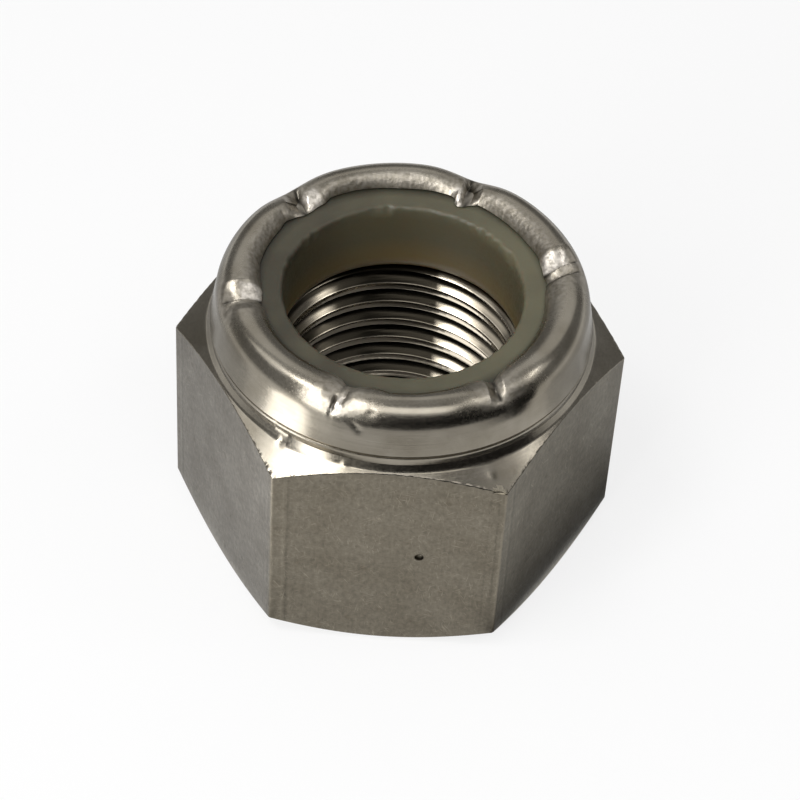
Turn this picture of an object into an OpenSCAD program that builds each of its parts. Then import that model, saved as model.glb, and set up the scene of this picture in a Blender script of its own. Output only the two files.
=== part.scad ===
// Nylon insert lock nut: a tall steel hexagon whose round collar is rolled and
// crimped over a captive nylon ring. The nut stands on its bearing face with
// the thread's axis on Z. The threaded stretch is a plain bore at the thread's
// minor diameter.

/* [Hexagon] */
// Width across the flats
across_flats = 19.05; // [19:0.05:24]
// Height of the hexagon, from the bearing face to the collar's foot
hex_height = 12.05; // [9:0.05:15]
// Slope of the corner chamfers, measured from the end faces
chamfer_angle = 30; // [20:1:38]
// Diameter of the round bearing face
bearing_d = 18.4; // [16:0.1:18.9]

/* [Bore] */
// Minor diameter of the thread
thread_minor_d = 11.5; // [9:0.1:11.6]
// Major diameter of the thread
thread_major_d = 12.7; // [12:0.1:13.2]
// How much wider than the thread each lead-in is at its mouth
lead_margin = 0.4; // [0.1:0.1:1]
// Slope of the lead-ins, measured from the end faces
lead_angle = 30; // [20:1:50]

/* [Collar] */
// Diameter of the sloped foot where it meets the hexagon
foot_d = 18.9; // [18.7:0.05:19]
// Height of the sloped foot
foot_h = 0.35; // [0.2:0.05:0.5]
// Slope of the foot's side, measured from the axis
foot_lean = 30; // [20:1:40]
// Height of the neck between the foot and the turned groove
neck_h = 0.45; // [0.3:0.05:0.6]
// Width of the fine turned groove under the collar's wall
groove_w = 0.1; // [0.06:0.02:0.2]
// Depth of that groove
groove_depth = 0.08; // [0.04:0.01:0.15]
// Diameter of the collar's wall just above the groove
collar_d = 18.55; // [16:0.05:18.6]
// Lean of the collar's wall towards the axis
collar_lean = 10; // [2:1:14]
// Thickness of the collar's wall at its foot
collar_wall = 1; // [0.8:0.05:1.3]

/* [Rolled lip] */
// Height of the collar, from the hexagon to the lip's crown
collar_h = 3.45; // [3:0.05:5]
// Outer radius of the shoulder, where the wall starts to roll over
shoulder_r = 1.5; // [1.3:0.05:1.7]
// Radius of the crown, where the lip curls down onto the insert
crown_r = 0.95; // [0.85:0.05:1.1]
// Thickness of the lip over the insert
lip_t = 0.75; // [0.65:0.05:0.9]
// Tilt of the surface where the shoulder's radius gives way to the crown's
crown_start = 46; // [40:1:60]

/* [Crimps] */
// Number of crimps pressed across the lip
crimp_count = 6; // [4:1:8]
// Depth of a crimp below the crown
crimp_depth = 0.5; // [0.2:0.05:0.6]
// Angle between the two sides of a crimp
crimp_angle = 100; // [60:5:120]
// Radius of a crimp's rounded bottom
crimp_root_r = 0.15; // [0.05:0.05:0.3]
// Turn of the first crimp from the corner on +X
crimp_turn = 10; // [0:1:59]

/* [Insert] */
// Inner diameter of the nylon ring
insert_bore_d = 11.55; // [9:0.05:12]
// Thickness of the nylon ring along the axis
insert_h = 4.1; // [3:0.05:4.5]
// Chamfer round the ring's top outer edge, under the shoulder
insert_chamfer = 0.5; // [0.3:0.1:0.8]
// Rounding of the ring's inner top edge
insert_edge_r = 0.2; // [0.1:0.05:0.4]
// Flare of the ring's bore where it meets the thread
insert_flare = 0.3; // [0.1:0.05:0.4]
// Height of that flare
insert_flare_h = 0.6; // [0.3:0.1:1]
// Play between the ring's side and the collar
insert_clearance = 0.03; // [0.01:0.01:0.1]

/* [Hidden] */
$fn = 96;

steel = [0.56, 0.54, 0.50];
nylon = [0.42, 0.42, 0.35];

// How far a cutter runs past the face that it opens
past = 1;

corner_r = across_flats / 2 / cos(30);
bearing_r = bearing_d / 2;
nut_height = hex_height + collar_h;
foot_r = foot_d / 2;
wall_r = collar_d / 2;
minor_r = thread_minor_d / 2;
lead_r = (thread_major_d + lead_margin) / 2;
lead_h = (lead_r - minor_r) * tan(lead_angle);
cavity_r = wall_r - collar_wall;
insert_top = nut_height - lip_t;
seat_height = insert_top - insert_h;
neck_base = hex_height + foot_h;
neck_r = foot_r - foot_h * tan(foot_lean);
wall_base = neck_base + neck_h + groove_w;

// The crown's centre lies under the overall height, and the shoulder's centre
// lies on the line through both circles' touching point. The shoulder meets the
// leaning wall without an edge.
crown_z = nut_height - crown_r;
shoulder_z = crown_z - (shoulder_r - crown_r) * sin(crown_start);
wall_lean_run = (shoulder_z + shoulder_r * sin(collar_lean) - wall_base) * tan(collar_lean);
shoulder_x = wall_r - wall_lean_run - shoulder_r * cos(collar_lean);
crown_x = shoulder_x + (shoulder_r - crown_r) * cos(crown_start);

// The point at a tilt round a circle of the section
function on_circle(x, z, r, tilt) = [x + r * cos(tilt), z + r * sin(tilt)];

// Side view of the hexagon's blank, turned with both corner chamfers
module blank_section() {
    reach = corner_r + past;
    rise = tan(chamfer_angle);
    polygon([
        [0, 0],
        [bearing_r, 0],
        [reach, (reach - bearing_r) * rise],
        [reach, hex_height - (reach - foot_r) * rise],
        [foot_r, hex_height],
        [0, hex_height]
    ]);
}

module hexagon() {
    intersection() {
        cylinder(h = hex_height, r = corner_r, $fn = 6);
        rotate_extrude() blank_section();
    }
}

// The sloped foot that the collar stands on, its neck and the fine groove
module foot_section() {
    polygon([
        [0, hex_height],
        [foot_r, hex_height],
        [neck_r, neck_base],
        [wall_r, neck_base + neck_h],
        [wall_r - groove_depth, neck_base + neck_h],
        [wall_r - groove_depth, wall_base],
        [0, wall_base]
    ]);
}

// The wall, the shoulder and the crown that curls down onto the insert
module collar_section() {
    meets_wall = on_circle(shoulder_x, shoulder_z, shoulder_r, collar_lean);
    meets_crown = on_circle(shoulder_x, shoulder_z, shoulder_r, crown_start);
    polygon([
        [0, wall_base],
        [wall_r, wall_base],
        meets_wall,
        [shoulder_x, shoulder_z],
        meets_crown,
        [crown_x, crown_z],
        [crown_x, insert_top],
        [0, insert_top]
    ]);
    intersection() {
        translate([shoulder_x, shoulder_z]) circle(r = shoulder_r);
        polygon([
            [shoulder_x, shoulder_z],
            on_circle(shoulder_x, shoulder_z, 2 * shoulder_r, collar_lean),
            on_circle(shoulder_x, shoulder_z, 2 * shoulder_r, crown_start)
        ]);
    }
    translate([crown_x, crown_z]) circle(r = crown_r);
}

// The hollow for the insert, the opening over it and the threaded bore
module bore_section() {
    polygon([
        [0, -past],
        [lead_r + past / tan(lead_angle), -past],
        [minor_r, lead_h],
        [minor_r, seat_height - lead_h],
        [lead_r, seat_height],
        [cavity_r, seat_height],
        [cavity_r, insert_top - insert_chamfer],
        [cavity_r - insert_chamfer, insert_top],
        [crown_x - crown_r, insert_top],
        [crown_x - crown_r, nut_height + past],
        [0, nut_height + past]
    ]);
}

// One crimp's cutter: a radial bar with a rounded V underneath
module crimp() {
    root_z = nut_height - crimp_depth + crimp_root_r;
    half = crimp_angle / 2;
    touch_x = crimp_root_r * cos(half);
    touch_z = root_z - crimp_root_r * sin(half);
    open_z = nut_height + past;
    open_x = touch_x + (open_z - touch_z) * tan(half);
    translate([minor_r, 0, 0])
        rotate([90, 0, 90])
            linear_extrude(height = corner_r) {
                polygon([
                    [-touch_x, touch_z],
                    [touch_x, touch_z],
                    [open_x, open_z],
                    [-open_x, open_z]
                ]);
                translate([0, root_z]) circle(r = crimp_root_r, $fn = 24);
            }
}

module nut_body() {
    color(steel)
        difference() {
            union() {
                hexagon();
                rotate_extrude() {
                    foot_section();
                    collar_section();
                }
            }
            rotate_extrude() bore_section();
            for (i = [0 : crimp_count - 1])
                rotate(crimp_turn + i * 360 / crimp_count) crimp();
        }
}

module insert_ring() {
    inner_r = insert_bore_d / 2;
    outer_r = cavity_r - insert_clearance;
    edge_r = insert_edge_r;
    color(nylon)
        rotate_extrude() {
            polygon([
                [inner_r + insert_flare, seat_height],
                [outer_r, seat_height],
                [outer_r, insert_top - insert_chamfer],
                [outer_r - insert_chamfer, insert_top],
                [inner_r + edge_r, insert_top],
                [inner_r + edge_r, insert_top - edge_r],
                [inner_r, insert_top - edge_r],
                [inner_r, seat_height + insert_flare_h]
            ]);
            translate([inner_r + edge_r, insert_top - edge_r])
                circle(r = edge_r);
        }
}

nut_body();
insert_ring();
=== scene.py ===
"""Nylon insert lock nut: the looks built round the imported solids.

The steel body is turned from one section, milled to its hexagon, tapped, and
crimped over the ring. The ring is turned from its own section. Shapes are
built in millimetres and brought to metres when they are finished.
"""

import logging
import math
from dataclasses import dataclass
from enum import Enum

import bpy
import numpy as np
from mathutils import Matrix, Vector


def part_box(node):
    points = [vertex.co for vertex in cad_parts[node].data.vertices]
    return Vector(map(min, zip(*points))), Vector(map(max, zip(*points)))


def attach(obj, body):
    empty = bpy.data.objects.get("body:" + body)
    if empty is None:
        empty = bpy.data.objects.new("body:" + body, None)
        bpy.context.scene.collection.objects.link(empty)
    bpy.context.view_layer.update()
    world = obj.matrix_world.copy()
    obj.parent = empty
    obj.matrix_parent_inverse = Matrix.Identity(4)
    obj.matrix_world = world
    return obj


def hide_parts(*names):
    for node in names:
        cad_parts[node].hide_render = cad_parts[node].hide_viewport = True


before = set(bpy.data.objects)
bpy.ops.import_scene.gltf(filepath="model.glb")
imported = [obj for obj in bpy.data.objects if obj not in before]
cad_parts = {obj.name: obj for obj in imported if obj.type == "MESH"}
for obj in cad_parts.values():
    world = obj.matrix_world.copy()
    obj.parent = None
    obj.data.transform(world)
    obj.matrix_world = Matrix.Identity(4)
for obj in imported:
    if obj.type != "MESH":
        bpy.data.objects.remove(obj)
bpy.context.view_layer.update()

MM = 0.001
FULL_TURN = 2 * math.pi
HEX_SIDES = 6
MERGE = 1e-4
CHUNK = 20000
NOISE_RANGE = (0.3, 0.7)
BLACK = (0.01, 0.01, 0.01, 1.0)
LOG = logging.getLogger("lock_nut")

Piece = bpy.types.Object
Socket = bpy.types.NodeSocket
Pair = tuple[float, float]
Triple = tuple[float, float, float]
Colour = tuple[float, float, float, float]


class Zone(Enum):
    """The stretches of the body's section, in the order in which they are turned."""

    BEARING = 0
    LOWER_CHAMFER = 1
    LOWER_EDGE = 2
    SIDE = 3
    UPPER_EDGE = 4
    UPPER_CHAMFER = 5
    FOOT = 6
    WALL = 7
    SHOULDER = 8
    CROWN = 9
    HOLLOW = 10
    BORE = 11


class Skin(Enum):
    """The steel's finishes, as the order of the body's materials."""

    TURNED = 0
    MILLED = 1
    TAPPED = 2


@dataclass(frozen=True)
class Station:
    """One point of a section: radius, height, zone, and share of the way along the zone."""

    r: float
    z: float
    zone: Zone
    share: float = 0.0


def smooth_step(x: np.ndarray) -> np.ndarray:
    """A soft ramp from 0 at 0 to 1 at 1."""
    t = np.clip(x, 0.0, 1.0)
    return t * t * (3 - 2 * t)


def turn_between(angle: np.ndarray, centre: float) -> np.ndarray:
    """The signed way round from centre to each angle, in radians.

    Args:
        angle: angles round the axis, in radians.
        centre: the angle that they are measured from, in radians.

    Returns:
        Angles from -pi to pi.
    """
    return (angle - centre + math.pi) % FULL_TURN - math.pi


class Ripple:
    """A smooth uneven ring: a few seeded waves that close after a full turn."""

    def __init__(self, seed: int, lowest: int, highest: int) -> None:
        """Draws the waves.

        Args:
            seed: the seed of the draw.
            lowest: the fewest waves in a turn.
            highest: the most waves in a turn.
        """
        rng = np.random.default_rng(seed)
        self.counts = np.arange(lowest, highest + 1)
        self.heights = rng.normal(size=len(self.counts)) / np.sqrt(len(self.counts))
        self.phases = rng.uniform(0, FULL_TURN, len(self.counts))

    def at(self, angle: np.ndarray) -> np.ndarray:
        """The height of the ripple at each angle, about 1 from end to end."""
        waves = np.cos(angle[..., None] * self.counts + self.phases)
        return (waves * self.heights).sum(-1)


class Bench:
    """Edit-mode tools, used as by hand."""

    @staticmethod
    def clear() -> None:
        """Leaves edit mode and deselects everything."""
        if bpy.context.mode != "OBJECT":
            Bench.leave()
        bpy.ops.object.select_all(action="DESELECT")

    @staticmethod
    def edit() -> None:
        """Enters edit mode with all of the active piece selected."""
        bpy.ops.object.mode_set(mode="EDIT")
        bpy.ops.mesh.select_all(action="SELECT")

    @staticmethod
    def leave() -> None:
        """Goes back to object mode."""
        bpy.ops.object.mode_set(mode="OBJECT")

    @staticmethod
    def apply_moves() -> None:
        """Brings the selected piece's place, turn and scale into its mesh."""
        bpy.ops.object.transform_apply(location=True, rotation=True, scale=True)

    @staticmethod
    def sheet(name: str, size: Pair, place: Triple) -> Piece:
        """Adds a flat level sheet.

        Args:
            name: its name.
            size: its size along X and Y.
            place: its middle.

        Returns:
            The sheet.
        """
        Bench.clear()
        bpy.ops.mesh.primitive_plane_add(size=1, location=place)
        sheet = bpy.context.object
        sheet.name = name
        sheet.scale = (*size, 1)
        Bench.apply_moves()
        return sheet

    @staticmethod
    def pick(piece: Piece) -> None:
        """Selects one piece and nothing else.

        Args:
            piece: the piece that is selected and made active.
        """
        Bench.clear()
        piece.select_set(True)
        bpy.context.view_layer.objects.active = piece

    @staticmethod
    def outline(name: str, points: list[Pair], closed: bool) -> Piece:
        """Draws an outline in the plane of X and Z, corner by corner.

        Args:
            name: the new piece's name.
            points: radius and height of each corner.
            closed: whether the last corner is joined to the first.

        Returns:
            The new piece, with edges and no faces.
        """
        Bench.clear()
        bpy.ops.mesh.primitive_plane_add(size=1, location=(0, 0, 0))
        piece = bpy.context.object
        piece.name = piece.data.name = name
        bpy.ops.object.mode_set(mode="EDIT")
        bpy.ops.mesh.select_mode(type="VERT")
        bpy.ops.mesh.select_all(action="SELECT")
        bpy.ops.mesh.merge(type="CENTER")
        bpy.ops.transform.translate(value=(points[0][0], 0, points[0][1]))
        for (r0, z0), (r1, z1) in zip(points, points[1:]):
            bpy.ops.mesh.extrude_vertices_move(
                TRANSFORM_OT_translate={"value": (r1 - r0, 0, z1 - z0)}
            )
        if closed:
            bpy.ops.mesh.select_all(action="DESELECT")
            Bench.leave()
            piece.data.vertices[0].select = True
            piece.data.vertices[-1].select = True
            bpy.ops.object.mode_set(mode="EDIT")
            bpy.ops.mesh.edge_face_add()
        Bench.leave()
        return piece

    @staticmethod
    def lathe(piece: Piece, columns: int) -> None:
        """Turns an outline round the Z axis into a closed skin.

        Args:
            piece: the piece that holds the outline.
            columns: the number of steps in the turn.
        """
        turn = piece.modifiers.new("turn", "SCREW")
        turn.axis = "Z"
        turn.angle = FULL_TURN
        turn.steps = turn.render_steps = columns
        turn.use_merge_vertices = True
        turn.merge_threshold = MERGE
        Bench.apply(piece, turn)
        Bench.edit()
        bpy.ops.mesh.remove_doubles(threshold=MERGE)
        bpy.ops.mesh.normals_make_consistent(inside=False)
        Bench.leave()

    @staticmethod
    def apply(piece: Piece, modifier: bpy.types.Modifier) -> None:
        """Applies one modifier to its piece."""
        Bench.pick(piece)
        bpy.ops.object.modifier_apply(modifier=modifier.name)

    @staticmethod
    def cut(piece: Piece, cutter: Piece) -> None:
        """Takes a closed cutter out of a piece, and removes the cutter.

        Args:
            piece: the piece that is cut.
            cutter: the solid that is taken out of it.
        """
        modifier = piece.modifiers.new("cut", "BOOLEAN")
        modifier.operation = "DIFFERENCE"
        modifier.solver = "EXACT"
        modifier.object = cutter
        Bench.apply(piece, modifier)
        bpy.data.objects.remove(cutter)

    @staticmethod
    def finish(piece: Piece, crease: float) -> None:
        """Brings a piece from millimetres to metres and shades it.

        Args:
            piece: the finished piece.
            crease: edges that turn by more than this, in degrees, stay sharp.
        """
        Bench.pick(piece)
        piece.scale = (MM, MM, MM)
        Bench.apply_moves()
        bpy.ops.object.shade_smooth_by_angle(angle=math.radians(crease))

    @staticmethod
    def read(piece: Piece) -> np.ndarray:
        """The piece's vertices.

        Args:
            piece: the piece that is read.

        Returns:
            Rows of three coordinates.
        """
        flat = np.zeros(len(piece.data.vertices) * 3, np.float32)
        piece.data.vertices.foreach_get("co", flat)
        return flat.reshape(-1, 3).astype(float)

    @staticmethod
    def write(piece: Piece, points: np.ndarray) -> None:
        """Moves the piece's vertices to new places."""
        piece.data.vertices.foreach_set("co", points.astype(np.float32).ravel())
        piece.data.update()

    @staticmethod
    def paint(piece: Piece, name: str, values: np.ndarray) -> None:
        """Keeps one number for each vertex as a mask that a finish can read.

        Args:
            piece: the piece that is painted.
            name: the mask's name.
            values: one number for each vertex.
        """
        layer = piece.data.attributes.new(name, "FLOAT", "POINT")
        layer.data.foreach_set("value", values.astype(np.float32))


def arc(
    centre: Pair, radius: float, start: float, end: float, count: int, zone: Zone
) -> list[Station]:
    """Stations round part of a circle.

    Args:
        centre: the circle's centre, as radius and height.
        radius: the circle's radius.
        start: the first station's tilt above the outward direction, in degrees.
        end: the last station's tilt.
        count: the number of stations.
        zone: the zone that they belong to.

    Returns:
        The stations, both ends included.
    """
    stations = []
    for i in range(count):
        share = i / (count - 1)
        tilt = math.radians(start + (end - start) * share)
        r = centre[0] + radius * math.cos(tilt)
        z = centre[1] + radius * math.sin(tilt)
        stations.append(Station(r, z, zone, share))
    return stations


def line(start: Pair, end: Pair, count: int, zone: Zone) -> list[Station]:
    """Evenly spaced stations along a straight line, both ends included.

    Args:
        start: radius and height of the first station.
        end: radius and height of the last station.
        count: the number of stations.
        zone: the zone that they belong to.

    Returns:
        The stations.
    """
    stations = []
    for i in range(count):
        share = i / (count - 1)
        r = start[0] + (end[0] - start[0]) * share
        z = start[1] + (end[1] - start[1]) * share
        stations.append(Station(r, z, zone, share))
    return stations


@dataclass
class Shell:
    """A piece's vertices as way round, radius and height, with each one's zone and share."""

    angle: np.ndarray
    r: np.ndarray
    z: np.ndarray
    zone: np.ndarray | None = None
    share: np.ndarray | None = None

    @classmethod
    def of(cls, piece: Piece) -> "Shell":
        """Reads a piece, without its zones.

        Args:
            piece: the piece, in millimetres.

        Returns:
            Its shell.
        """
        points = Bench.read(piece)
        radius = np.hypot(points[:, 0], points[:, 1])
        return cls(np.arctan2(points[:, 1], points[:, 0]), radius, points[:, 2])

    def know(self, stations: list[Station]) -> None:
        """Finds the station that each vertex was turned from, and takes its zone and share.

        Args:
            stations: the section.
        """
        found = np.array([(s.r, s.z) for s in stations])
        nearest = np.zeros(len(self.r), int)
        for first in range(0, len(self.r), CHUNK):
            part = slice(first, first + CHUNK)
            out, up = self.r[part, None] - found[:, 0], self.z[part, None] - found[:, 1]
            nearest[part] = (out**2 + up**2).argmin(1)
        self.zone = np.array([s.zone.value for s in stations])[nearest]
        self.share = np.array([s.share for s in stations])[nearest]

    def within(self, *zones: Zone) -> np.ndarray:
        """Which vertices belong to the zones."""
        return np.isin(self.zone, [zone.value for zone in zones])

    def across(self, turn: float, skew: float = 0.0, crest_r: float = 0.0) -> np.ndarray:
        """How far each vertex lies to the side of a line across the lip.

        Args:
            turn: the line's way round the axis at crest_r, in degrees.
            skew: how much it turns for each millimetre outwards, in degrees.
            crest_r: the radius that skew counts from.

        Returns:
            Signed distances in millimetres.
        """
        centre = math.radians(turn) + math.radians(skew) * (self.r - crest_r)
        return turn_between(self.angle, centre) * self.r

    def shape(self, piece: Piece) -> None:
        """Moves the piece's vertices to the shell's places."""
        level = (self.r * np.cos(self.angle), self.r * np.sin(self.angle))
        Bench.write(piece, np.c_[level[0], level[1], self.z])


@dataclass(frozen=True)
class Stroke:
    """A groove pressed across the lip, or with a negative depth a ridge that it raised.

    Lengths are in millimetres and angles in degrees. The sides can differ: before is
    the width on the side of smaller angles, after on the other.
    """

    angle: float
    depth: float
    before: float
    after: float
    inner: float = 6.0
    outer: float = 8.85
    skew: float = 0.0
    root: float = 0.08


@dataclass(frozen=True)
class Crimp:
    """One crimp: its strokes, and what it does to the lip round it."""

    angle: float
    strokes: tuple[Stroke, ...]
    sag: float = 0.12


@dataclass(frozen=True)
class Ding:
    """A knock in the surface: a small hollow, or with a negative depth a burr."""

    angle: float
    r: float
    z: float
    radius: float
    depth: float


@dataclass(frozen=True)
class Pit:
    """A small deep hole: its centre and its half sizes."""

    place: Triple
    size: Triple


@dataclass(frozen=True)
class Stamp:
    """A patch of the lip that the crimping tool left bare, painted very light as a painted
    highlight, with half its width.
    """

    angle: float
    inner: float
    outer: float
    half: float


@dataclass(frozen=True)
class Nick:
    """A worn place in the nylon's inner edge. Its width is in degrees."""

    angle: float
    width: float
    depth: float


@dataclass
class NutBody:
    """The steel body: hexagon, collar, rolled lip, crimps and thread.

    Lengths are in millimetres, and angles round the axis in degrees from +X. side_marks
    only keeps the side's stations apart until mill() moves them. edge_growth says how fast
    an edge's rounding grows with its chamfer, and edge_arc where its stations start on the
    arc and how much of it they cover. The pitch divided by root_part is the thread's flat
    root, and divided by phase_part it is how far its start lies above a whole turn.
    lip_edge is the lip's inner edge as angles and radii, and flat_lines_and_corner_highlights
    are the lines near a flat's ends as places, widths and strengths; the two at ±5.46 mm lie
    on the hexagon's corners and are painted highlights. flat_shift keeps the grain of two
    flats from being alike.
    """

    height: float
    across_flats: float
    seat_z: float
    insert_top: float
    columns: int = 720
    hex_height: float = 12.05
    chamfer_angle: float = 30.0
    bearing_r: float = 9.2
    side_marks: tuple[float, ...] = (1.10, 1.14, 1.20, 10.9, 10.94, 10.98, 11.07)
    edge_r: float = 0.06
    edge_growth: float = 1.6
    edge_arc: Pair = (0.15, 0.7)
    ragged_h: float = 0.013
    corner_round: float = 0.16
    corner_crowd: float = 0.25
    foot_r: float = 9.45
    foot_h: float = 0.35
    foot_lean: float = 30.0
    neck_h: float = 0.45
    groove_w: float = 0.1
    groove_depth: float = 0.08
    wall_r: float = 9.275
    wall_lean: float = 10.0
    wall_t: float = 1.0
    shoulder_r: float = 1.5
    crown_r: float = 0.95
    crown_start: float = 46.0
    crest_r: float = 7.91
    lip_gap: float = 0.07
    lip_depth: float = 2.4
    lip_mark_z: float = 14.6
    crease_shade_z: float = 14.3
    sag_w: float = 1.4
    scuff_w: float = 1.3
    scuff_r: float = 7.9
    stroke_fades: Pair = (0.4, 0.55)
    push_share: float = 0.4
    wall_sink: float = 0.7
    hex_sink: float = 0.3
    minor_r: float = 5.75
    major_r: float = 6.35
    pitch: float = 1.27
    flank_angle: float = 30.0
    root_part: float = 6.8
    phase_part: float = 90.0
    thread_ease: float = 0.06
    thread_turns: int = 15
    thread_steps: int = 96
    tap_past: Pair = (0.7, 0.3)
    lead_r: float = 6.55
    lead_angle: float = 30.0
    seat_lead_r: float = 6.15
    crimps: tuple[Crimp, ...] = (
        Crimp(193.8, (Stroke(193.8, 0.55, 1.15, 0.22), Stroke(196.6, 0.12, 0.3, 0.5)), 0.0),
        Crimp(
            133.8,
            (
                Stroke(133.8, 0.55, 0.35, 0.95, skew=-3.0),
                Stroke(129.4, -0.12, 0.5, 0.4, inner=6.7, outer=8.0),
            ),
            0.3,
        ),
        Crimp(
            69.0,
            (
                Stroke(68.4, 0.6, 0.7, 0.35, skew=1.8),
                Stroke(71.0, -0.12, 0.25, 0.3, outer=7.6),
            ),
            0.35,
        ),
        Crimp(
            11.5,
            (
                Stroke(14.3, 0.5, 0.16, 1.15, outer=8.7, skew=2.3),
                Stroke(9.3, 0.3, 0.18, 0.55, outer=8.7, skew=2.6),
            ),
            0.05,
        ),
        Crimp(305.8, (Stroke(305.8, 0.4, 0.5, 0.4, skew=-2.0),), 0.2),
        Crimp(
            251.6,
            (
                Stroke(250.2, 0.35, 0.16, 0.12, inner=8.1, outer=9.15, skew=0.6),
                Stroke(253.6, 0.12, 0.12, 0.2, inner=7.5, outer=9.0, skew=-1.0),
                Stroke(251.6, 0.18, 0.8, 0.7),
            ),
            0.1,
        ),
    )
    lip_edge: tuple[Pair, ...] = (
        (0.9, 6.79), (5.9, 6.87), (8.7, 6.95), (12.5, 6.86), (19.8, 6.92), (24.1, 7.01),
        (32.8, 6.95), (42.0, 6.98), (50.5, 7.04), (57.9, 7.10), (61.8, 7.12), (65.2, 6.80),
        (66.1, 6.62), (69.3, 6.52), (71.0, 6.70), (71.6, 7.00), (73.7, 7.13), (80.0, 7.19),
        (94.3, 7.14), (100.7, 7.20), (111.4, 7.28), (122.6, 7.25), (126.4, 7.02), (130.3, 6.98),
        (133.5, 6.90), (137.4, 6.91), (141.1, 7.12), (145.2, 7.28), (150.5, 7.15), (170.7, 7.07),
        (182.0, 6.84), (187.8, 6.76), (191.8, 6.84), (196.3, 6.97), (197.7, 6.81), (206.5, 6.86),
        (224.0, 6.90), (240.1, 6.83), (245.6, 6.77), (248.5, 6.85), (251.4, 7.15), (254.9, 7.15),
        (261.8, 6.86), (265.3, 6.98), (267.8, 7.14), (279.2, 7.12), (290.0, 7.00), (299.6, 6.87),
        (303.3, 7.02), (307.0, 7.39), (308.7, 7.29), (311.2, 7.11), (315.2, 6.98), (318.5, 6.92),
        (330.0, 6.88), (349.8, 6.84),
    )
    dings: tuple[Ding, ...] = (
        Ding(298.1, 9.95, 11.76, 0.2, 0.04),
        Ding(180.5, 10.08, 11.69, 0.12, -0.05),
        Ding(233.6, 9.35, 12.7, 0.15, 0.08),
        Ding(235.0, 9.4, 12.45, 0.15, -0.08),
        Ding(237.0, 9.4, 12.1, 0.18, 0.08),
        Ding(256.9, 9.42, 12.1, 0.15, -0.06),
        Ding(263.0, 8.6, 15.0, 0.18, 0.08),
        Ding(309.5, 8.85, 14.9, 0.6, 0.14),
        Ding(198.5, 8.6, 15.1, 0.3, 0.1),
        Ding(257.6, 9.0, 14.55, 0.12, 0.05),
        Ding(258.8, 9.0, 14.4, 0.12, 0.06),
        Ding(259.8, 9.05, 14.2, 0.12, 0.05),
    )
    stamps: tuple[Stamp, ...] = (
        Stamp(17.4, 6.8, 8.15, 0.5),
        Stamp(189.6, 6.7, 7.8, 0.4),
        Stamp(251.9, 8.2, 9.1, 0.2),
        Stamp(130.6, 6.8, 7.8, 0.4),
        Stamp(70.6, 6.4, 7.5, 0.3),
    )
    pits: tuple[Pit, ...] = (
        Pit((1.62, -9.525, 6.3), (0.22, 0.3, 0.19)),
        Pit((5.13, -9.53, 11.25), (0.32, 0.1, 0.1)),
    )
    pit_reach: float = 0.34
    flat_shift: float = 20.0
    flat_lines_and_corner_highlights: tuple[Triple, ...] = (
        (-4.72, 0.07, 1.0),
        (4.8, 0.05, 0.5),
        (-4.93, 0.06, -0.8),
        (5.2, 0.06, 0.7),
        # These two lie on the corners and are painted highlights.
        (5.46, 0.05, -1.3),
        (-5.46, 0.05, -1.3),
    )

    @property
    def corner_r(self) -> float:
        """The radius of the hexagon's sharp corners."""
        return self.across_flats / 2 / math.cos(math.pi / HEX_SIDES)

    @property
    def slope(self) -> float:
        """The rise of the corner chamfers."""
        return math.tan(math.radians(self.chamfer_angle))

    @property
    def ceiling(self) -> float:
        """The height of the lip's underside."""
        return self.insert_top + self.lip_gap

    def section(self) -> list[Station]:
        """The body's section as it leaves the lathe, from the bore's foot round to the bore."""
        return self.blank_section() + self.collar_section() + self.inner_section()

    def blank_section(self) -> list[Station]:
        """The hexagon's blank.

        Returns:
            The stations from the bore's foot to the top of the upper chamfer.
        """
        corner_r = self.corner_r
        chamfer_end = (corner_r, (corner_r - self.bearing_r) * self.slope)
        low, low_end, side, side_end, high, high_end, last = self.side_marks
        stations = line((self.lead_r, 0), (self.bearing_r, 0), 4, Zone.BEARING)
        stations += line((self.bearing_r, 0), chamfer_end, 5, Zone.LOWER_CHAMFER)[1:]
        stations += line((corner_r, low), (corner_r, low_end), 3, Zone.LOWER_EDGE)
        stations += line((corner_r, side), (corner_r, side_end), 13, Zone.SIDE)
        stations += line((corner_r, high), (corner_r, high_end), 3, Zone.UPPER_EDGE)
        stations += line((corner_r, last), (self.foot_r, self.hex_height), 9, Zone.UPPER_CHAMFER)
        return stations

    def collar_section(self) -> list[Station]:
        """The collar's outside and its rolled lip.

        Returns:
            The stations from the sloped foot over the crown to the lip's underside.
        """
        neck_base = self.hex_height + self.foot_h
        neck_top = neck_base + self.neck_h
        neck_r = self.foot_r - self.foot_h * math.tan(math.radians(self.foot_lean))
        base = neck_top + self.groove_w
        groove_r = self.wall_r - self.groove_depth
        crown_z = self.height - self.crown_r
        start = math.radians(self.crown_start)
        lean = math.radians(self.wall_lean)
        shoulder_z = crown_z - (self.shoulder_r - self.crown_r) * math.sin(start)
        wall_top_z = shoulder_z + self.shoulder_r * math.sin(lean)
        run = (wall_top_z - base) * math.tan(lean)
        shoulder_x = self.wall_r - run - self.shoulder_r * math.cos(lean)
        crown_x = shoulder_x + (self.shoulder_r - self.crown_r) * math.cos(start)
        wall_top = (shoulder_x + self.shoulder_r * math.cos(lean), wall_top_z)
        end_tilt = 180 - math.degrees(math.asin((self.ceiling - crown_z) / self.crown_r))
        stations = line((self.foot_r, self.hex_height), (neck_r, neck_base), 4, Zone.FOOT)[1:]
        stations += line((neck_r, neck_base), (self.wall_r, neck_top - 0.05), 4, Zone.FOOT)[1:]
        stations += line(
            (self.wall_r - 0.02, neck_top - 0.01), (groove_r, neck_top + 0.01), 2, Zone.FOOT
        )
        stations += line((groove_r, base - 0.02), (self.wall_r - 0.03, base), 2, Zone.WALL)
        stations += line((self.wall_r - 0.005, base + 0.03), wall_top, 11, Zone.WALL)
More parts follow.
